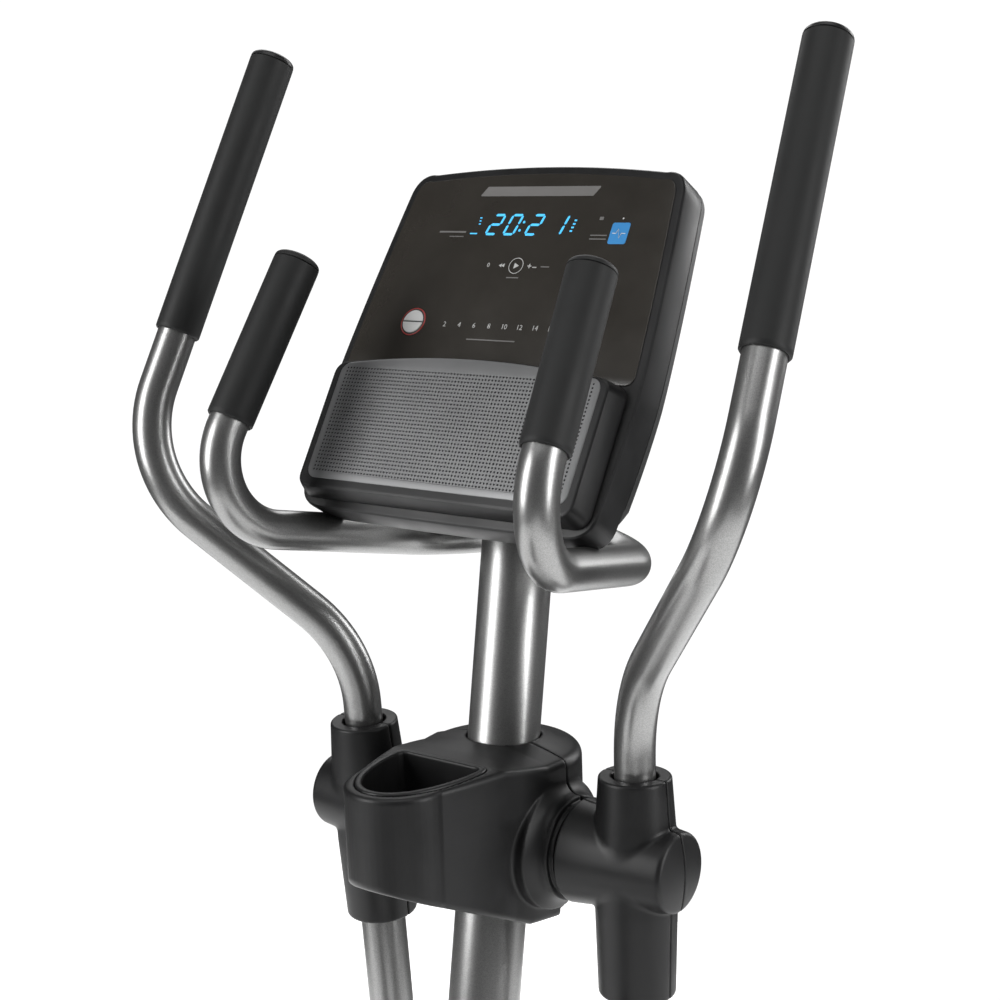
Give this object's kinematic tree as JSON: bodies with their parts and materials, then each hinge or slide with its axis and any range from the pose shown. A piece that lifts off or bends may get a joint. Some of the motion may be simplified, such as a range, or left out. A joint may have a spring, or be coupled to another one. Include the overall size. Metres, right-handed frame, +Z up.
{
  "type": "elliptical trainer",
  "caption": "Elliptical trainer with swinging S-curved handlebars, a fixed handlebar, a tilted console with speakers, a cup holder on the mast and a rear crank drive.",
  "frame": {"origin": "floor level, centre of the machine's footprint", "axes": "+X the user's right, +Y forwards from user to console, +Z up"},
  "size_m": [0.6314, 1.383, 1.6873],
  "materials": {
    "silver_paint": "silver metallic flake paint, satin clear coat",
    "black_paint": "black powder coat",
    "black_plastic": "fine moulded texture, satin black",
    "foam_grip": "matte black foam",
    "cap_plastic": "smooth satin black",
    "overlay": "warm dark grey gloss panel with printed marks",
    "grille": "mid grey perforated grille",
    "button": "white rocker with a red ring",
    "steel": "bright turned steel",
    "iron": "machined grey iron",
    "rubber": "black rubber",
    "board": "green circuit board"
  },
  "bodies": {
    "frame": {"main_rail": "black_paint", "front_stabilizer": "silver_paint", "rear_stabilizer": "silver_paint", "front_cap_right": "cap_plastic", "front_cap_left": "cap_plastic", "rear_cap_right": "cap_plastic", "rear_cap_left": "cap_plastic", "mast": "silver_paint", "pivot_axle": "steel", "mast_cover_rear": "black_plastic", "mast_cover_front": "black_plastic", "cup_liner": "black_plastic", "console_back": "black_plastic", "console_fascia": "black_plastic", "console_overlay": "overlay", "console_shelf": "black_plastic", "speaker_grille": "grille", "circuit_board": "board", "speaker_right": "black_plastic", "speaker_left": "black_plastic", "console_bracket": "black_paint", "handlebar_clamp": "black_paint", "fixed_handlebar": "silver_paint", "fixed_grip_right": "foam_grip", "fixed_grip_left": "foam_grip", "right_housing": "black_plastic", "left_housing": "black_plastic", "drive_belt": "rubber", "resistance_motor": "black_plastic", "power_inlet": "cap_plastic", "wire_harness": "rubber"},
    "crank": {"crank_axle": "steel", "crank_pulley": "black_plastic", "crank_arm_right": "black_paint", "crank_arm_left": "black_paint"},
    "flywheel": {"flywheel": "iron"},
    "idler": {"idler_pulley": "black_plastic"},
    "magnet_arm": {"magnet_bracket": "black_paint"},
    "right_arm": {"right_leg": "silver_paint", "right_handlebar": "silver_paint", "right_grip": "foam_grip", "right_grip_cap": "cap_plastic", "right_cover_front": "black_plastic", "right_cover_rear": "black_plastic"},
    "left_arm": {"left_leg": "silver_paint", "left_handlebar": "silver_paint", "left_grip": "foam_grip", "left_grip_cap": "cap_plastic", "left_cover_front": "black_plastic", "left_cover_rear": "black_plastic"},
    "right_link": {"right_pedal_arm": "silver_paint", "right_pedal": "black_plastic"},
    "left_link": {"left_pedal_arm": "silver_paint", "left_pedal": "black_plastic"},
    "right_wheel": {"transport_wheel_right": "black_plastic"},
    "left_wheel": {"transport_wheel_left": "black_plastic"},
    "right_foot": {"levelling_foot_right": "rubber"},
    "left_foot": {"levelling_foot_left": "rubber"},
    "right_button": {"right_rocker": "button"},
    "left_button": {"left_rocker": "button"}
  },
  "joints": [
    {"name": "crank_spin", "type": "hinge", "parent": "frame", "child": "crank", "pos_m": [0, -0.4855, 0.335], "axis": [1, 0, 0], "continuous": true},
    {"name": "flywheel_spin", "type": "hinge", "parent": "frame", "child": "flywheel", "pos_m": [0, -0.2305, 0.256], "axis": [1, 0, 0], "continuous": true},
    {"name": "idler_spin", "type": "hinge", "parent": "frame", "child": "idler", "pos_m": [0, -0.31432, 0.19372], "axis": [1, 0, 0], "continuous": true},
    {"name": "magnet_swing", "type": "hinge", "parent": "frame", "child": "magnet_arm", "pos_m": [0, -0.10926, 0.186], "axis": [1, 0, 0], "range_deg": [-8, 0], "stiffness_Nm_per_rad": 4, "springref_deg": 2.86},
    {"name": "right_swing", "type": "hinge", "parent": "frame", "child": "right_arm", "pos_m": [0, 0.4125, 1], "axis": [1, 0, 0], "range_deg": [-11.5, 16.5]},
    {"name": "left_swing", "type": "hinge", "parent": "frame", "child": "left_arm", "pos_m": [0, 0.4125, 1], "axis": [1, 0, 0], "range_deg": [-16.5, 11.5]},
    {"name": "right_pedal_pivot", "type": "hinge", "parent": "right_arm", "child": "right_link", "pos_m": [0.148, 0.39906, 0.30013], "axis": [1, 0, 0], "range_deg": [-16.5, 11.5]},
    {"name": "left_pedal_pivot", "type": "hinge", "parent": "left_arm", "child": "left_link", "pos_m": [-0.148, 0.45767, 0.30146], "axis": [1, 0, 0], "range_deg": [-11.5, 16.5]},
    {"name": "right_wheel_spin", "type": "hinge", "parent": "frame", "child": "right_wheel", "pos_m": [0.19, 0.6615, 0.038], "axis": [1, 0, 0], "continuous": true},
    {"name": "left_wheel_spin", "type": "hinge", "parent": "frame", "child": "left_wheel", "pos_m": [-0.19, 0.6615, 0.038], "axis": [1, 0, 0], "continuous": true},
    {"name": "right_foot_screw", "type": "slide", "parent": "frame", "child": "right_foot", "axis": [0, 0, -1], "range_m": [0, 0.012]},
    {"name": "left_foot_screw", "type": "slide", "parent": "frame", "child": "left_foot", "axis": [0, 0, -1], "range_m": [0, 0.012]},
    {"name": "right_button_press", "type": "slide", "parent": "frame", "child": "right_button", "axis": [0, 0.8499, -0.527], "range_m": [0, 0.0012], "stiffness_N_per_m": 400},
    {"name": "left_button_press", "type": "slide", "parent": "frame", "child": "left_button", "axis": [0, 0.8499, -0.527], "range_m": [0, 0.0012], "stiffness_N_per_m": 400}
  ],
  "couplings": [
    {"joint": "flywheel_spin", "follows": "crank_spin", "ratio": 5.3846},
    {"joint": "idler_spin", "follows": "crank_spin", "ratio": -7},
    {"joint": "left_swing", "follows": "right_swing", "ratio": -1},
    {"joint": "right_pedal_pivot", "follows": "right_swing", "ratio": -1},
    {"joint": "left_pedal_pivot", "follows": "right_swing", "ratio": 1}
  ]
}
